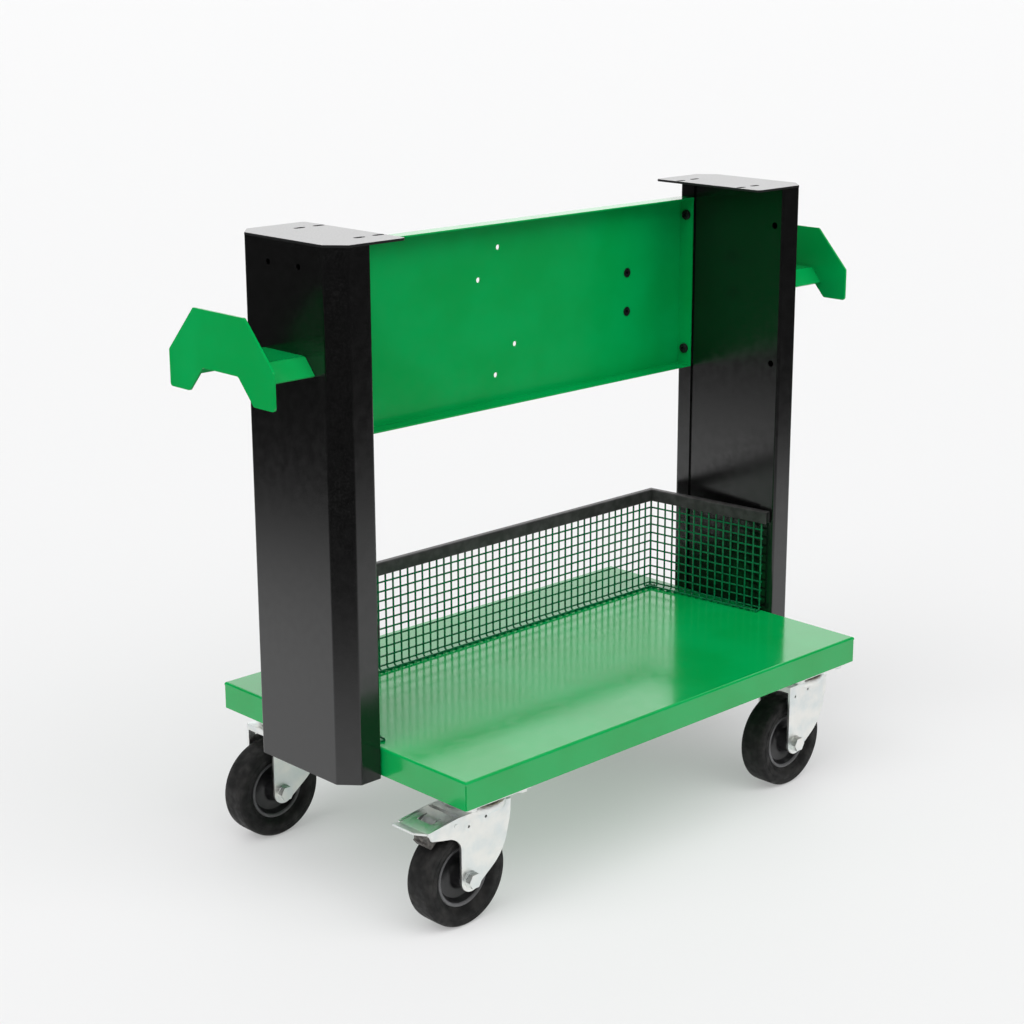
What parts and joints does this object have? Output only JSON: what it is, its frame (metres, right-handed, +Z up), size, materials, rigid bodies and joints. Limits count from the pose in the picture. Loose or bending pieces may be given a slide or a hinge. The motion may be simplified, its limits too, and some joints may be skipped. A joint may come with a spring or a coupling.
{
  "type": "workshop trolley",
  "caption": "Workshop machine trolley: folded deck on swivel casters, two columns with slotted top plates, a tool panel between them, wire guard and hose hooks",
  "frame": {"origin": "on the floor under the middle of the deck", "axes": "+X along the deck from one column to the other, +Y towards the tool panel, +Z up"},
  "size_m": [1.004, 0.46, 0.8],
  "materials": {
    "green_coat": "gloss powder coat, bright green",
    "black_coat": "satin powder coat, black",
    "black_trim": "satin black edge trim",
    "zinc": "bright zinc plate",
    "race_ring": "greased steel balls and race",
    "black_screws": "black oxide steel",
    "black_tyre": "solid black rubber",
    "grey_rim": "moulded dark grey plastic",
    "brake_block": "dark rubber block"
  },
  "bodies": {
    "frame": {"deck": "green_coat", "tool_panel": "green_coat", "panel_inserts": "black_screws", "panel_bolts": "black_screws", "m8_bolts": "zinc", "m8_nuts": "zinc", "hook_bolts": "zinc", "guard_back": "green_coat", "trim_back": "black_trim", "caster_channel_left": "black_coat", "caster_channel_right": "black_coat", "column_left": "black_coat", "column_right": "black_coat", "column_cover_left": "black_coat", "column_cover_right": "black_coat", "top_plate_left": "black_coat", "top_plate_right": "black_coat", "guard_left": "green_coat", "guard_right": "green_coat", "trim_left": "black_trim", "trim_right": "black_trim", "hook_plate_left": "green_coat", "hook_plate_right": "green_coat", "hook_saddle_left": "green_coat", "hook_saddle_right": "green_coat", "caster_plate_front_left": "zinc", "kingpin_front_left": "zinc", "caster_plate_front_right": "zinc", "kingpin_front_right": "zinc", "caster_plate_back_left": "zinc", "kingpin_back_left": "zinc", "caster_plate_back_right": "zinc", "kingpin_back_right": "zinc"},
    "swivel_front_left": {"fork_front_left": "zinc", "ball_race_front_left": "race_ring", "axle_front_left": "zinc"},
    "wheel_front_left": {"rim_front_left": "grey_rim", "tyre_front_left": "black_tyre"},
    "pedal_front_left": {"brake_pedal_front_left": "zinc", "pedal_pin_front_left": "zinc", "brake_shoe_front_left": "brake_block"},
    "swivel_front_right": {"fork_front_right": "zinc", "ball_race_front_right": "race_ring", "axle_front_right": "zinc"},
    "wheel_front_right": {"rim_front_right": "grey_rim", "tyre_front_right": "black_tyre"},
    "swivel_back_left": {"fork_back_left": "zinc", "ball_race_back_left": "race_ring", "axle_back_left": "zinc"},
    "wheel_back_left": {"rim_back_left": "grey_rim", "tyre_back_left": "black_tyre"},
    "swivel_back_right": {"fork_back_right": "zinc", "ball_race_back_right": "race_ring", "axle_back_right": "zinc"},
    "wheel_back_right": {"rim_back_right": "grey_rim", "tyre_back_right": "black_tyre"},
    "pedal_back_right": {"brake_pedal_back_right": "zinc", "pedal_pin_back_right": "zinc", "brake_shoe_back_right": "brake_block"}
  },
  "joints": [
    {"name": "swivel_front_left_turn", "type": "hinge", "parent": "frame", "child": "swivel_front_left", "pos_m": [-0.3, -0.178, 0.15], "axis": [0, 0, 1], "continuous": true},
    {"name": "wheel_front_left_spin", "type": "hinge", "parent": "swivel_front_left", "child": "wheel_front_left", "pos_m": [-0.33, -0.178, 0.0625], "axis": [0, 1, 0], "continuous": true},
    {"name": "pedal_front_left_press", "type": "hinge", "parent": "swivel_front_left", "child": "pedal_front_left", "pos_m": [-0.353, -0.178, 0.137], "axis": [0, -1, 0], "range_deg": [0, 10]},
    {"name": "swivel_front_right_turn", "type": "hinge", "parent": "frame", "child": "swivel_front_right", "pos_m": [0.3, -0.178, 0.15], "axis": [0, 0, 1], "continuous": true},
    {"name": "wheel_front_right_spin", "type": "hinge", "parent": "swivel_front_right", "child": "wheel_front_right", "pos_m": [0.27, -0.178, 0.0625], "axis": [0, 1, 0], "continuous": true},
    {"name": "swivel_back_left_turn", "type": "hinge", "parent": "frame", "child": "swivel_back_left", "pos_m": [-0.3, 0.178, 0.15], "axis": [0, 0, 1], "continuous": true},
    {"name": "wheel_back_left_spin", "type": "hinge", "parent": "swivel_back_left", "child": "wheel_back_left", "pos_m": [-0.33, 0.178, 0.0625], "axis": [0, 1, 0], "continuous": true},
    {"name": "swivel_back_right_turn", "type": "hinge", "parent": "frame", "child": "swivel_back_right", "pos_m": [0.3, 0.178, 0.15], "axis": [0, 0, 1], "continuous": true},
    {"name": "wheel_back_right_spin", "type": "hinge", "parent": "swivel_back_right", "child": "wheel_back_right", "pos_m": [0.27, 0.178, 0.0625], "axis": [0, 1, 0], "continuous": true},
    {"name": "pedal_back_right_press", "type": "hinge", "parent": "swivel_back_right", "child": "pedal_back_right", "pos_m": [0.247, 0.178, 0.137], "axis": [0, -1, 0], "range_deg": [0, 10]}
  ]
}
